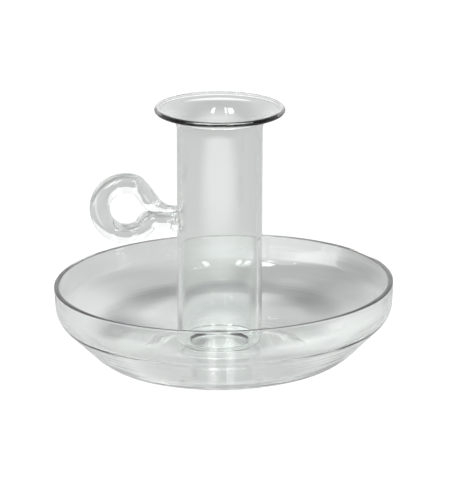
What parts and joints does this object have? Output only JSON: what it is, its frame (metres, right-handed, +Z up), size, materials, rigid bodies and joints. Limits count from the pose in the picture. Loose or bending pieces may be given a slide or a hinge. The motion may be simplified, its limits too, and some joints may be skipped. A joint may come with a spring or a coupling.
{
  "type": "chamberstick",
  "caption": "Low candle holder of clear glass: a shallow dish with an upturned rim, a candle tube with a flared lip, and a ring handle bent from rod.",
  "frame": {"origin": "on the table, under the middle of the dish, at the centre of the bounding box's bottom", "axes": "+Z up, out of the tube's mouth; -X towards the ring handle; -Y to the front, which is the side that the picture shows"},
  "size_m": [0.112, 0.112, 0.086],
  "materials": {
    "clear_glass": "clear and fire-polished"
  },
  "bodies": {
    "root": {"dish": "clear_glass", "candle_tube": "clear_glass", "ring_handle": "clear_glass"}
  },
  "joints": []
}
